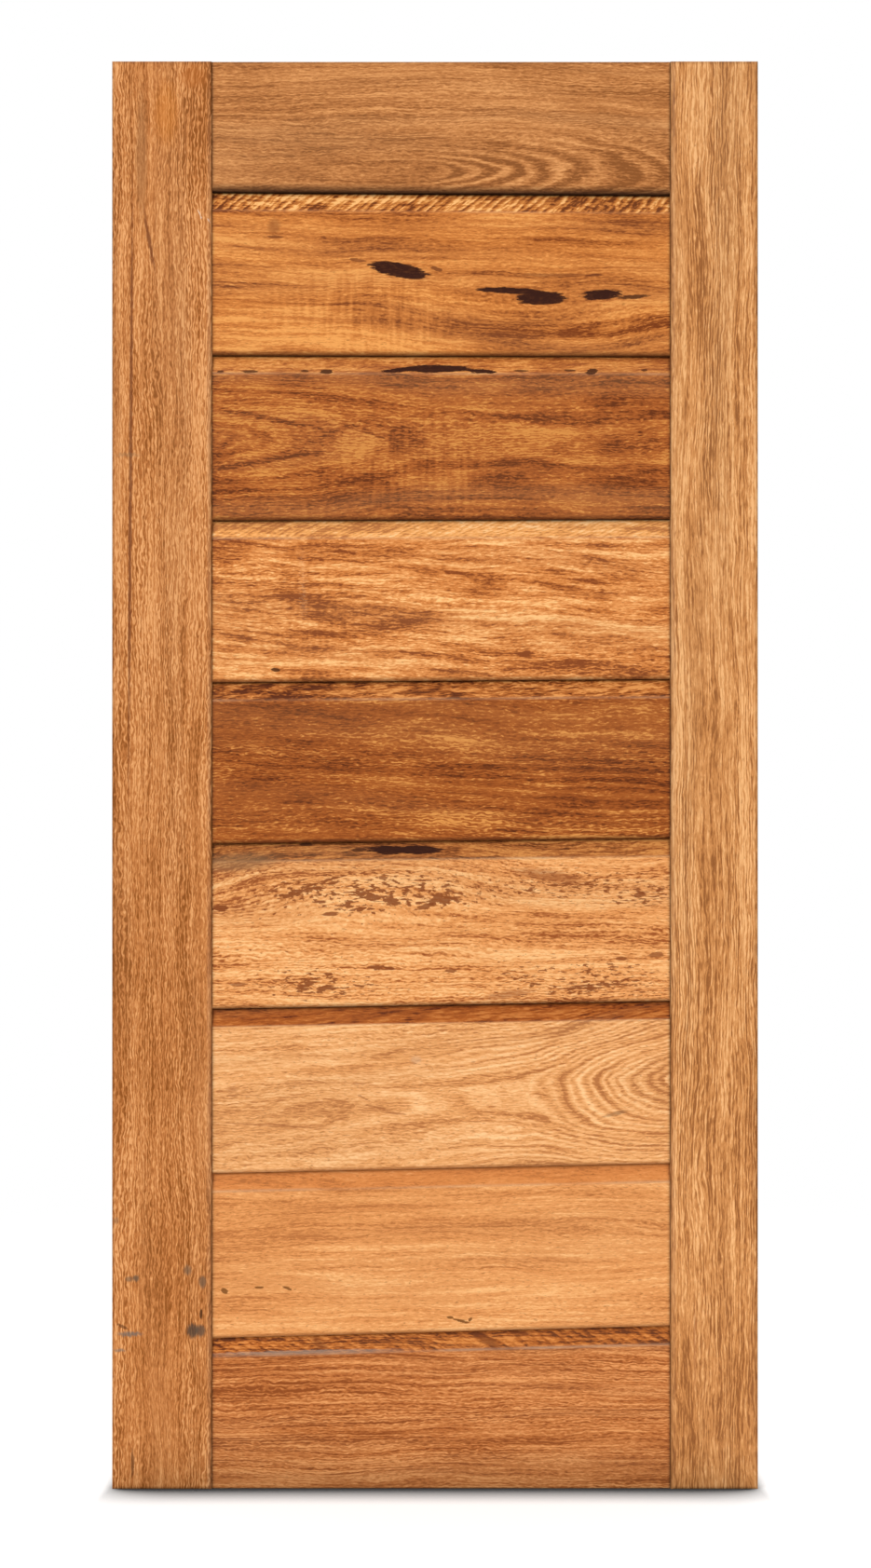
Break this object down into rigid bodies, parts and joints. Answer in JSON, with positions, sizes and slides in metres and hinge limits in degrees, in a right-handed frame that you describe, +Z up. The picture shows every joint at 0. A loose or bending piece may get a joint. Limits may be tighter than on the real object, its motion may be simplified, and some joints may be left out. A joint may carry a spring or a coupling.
{
  "type": "barn door",
  "caption": "Solid hardwood barn door leaf: wide horizontal bevelled boards, tongued together and dowelled between plain upright stiles.",
  "frame": {"origin": "middle of the bottom edge of the leaf, in the middle of its thickness", "axes": "+X to the right seen from the front, +Y from the front to the back, +Z up"},
  "size_m": [0.95, 0.04, 2.1],
  "materials": {
    "stile_left_wood": "satin oil over planed reclaimed hardwood",
    "stile_right_wood": "satin oil over planed reclaimed hardwood",
    "board_1_wood": "satin oil over planed reclaimed hardwood",
    "board_2_wood": "satin oil over planed reclaimed hardwood",
    "board_3_wood": "satin oil over planed reclaimed hardwood",
    "board_4_wood": "satin oil over planed reclaimed hardwood",
    "board_5_wood": "satin oil over planed reclaimed hardwood",
    "board_6_wood": "satin oil over planed reclaimed hardwood",
    "board_7_wood": "satin oil over planed reclaimed hardwood",
    "board_8_wood": "satin oil over planed reclaimed hardwood",
    "board_9_wood": "satin oil over planed reclaimed hardwood",
    "dowel_wood": "bare turned hardwood"
  },
  "bodies": {
    "root": {"stile_left": "stile_left_wood", "stile_right": "stile_right_wood", "board_1": "board_1_wood", "board_2": "board_2_wood", "board_3": "board_3_wood", "board_4": "board_4_wood", "board_5": "board_5_wood", "board_6": "board_6_wood", "board_7": "board_7_wood", "board_8": "board_8_wood", "board_9": "board_9_wood", "dowels_left": "dowel_wood", "dowels_right": "dowel_wood"}
  },
  "joints": []
}
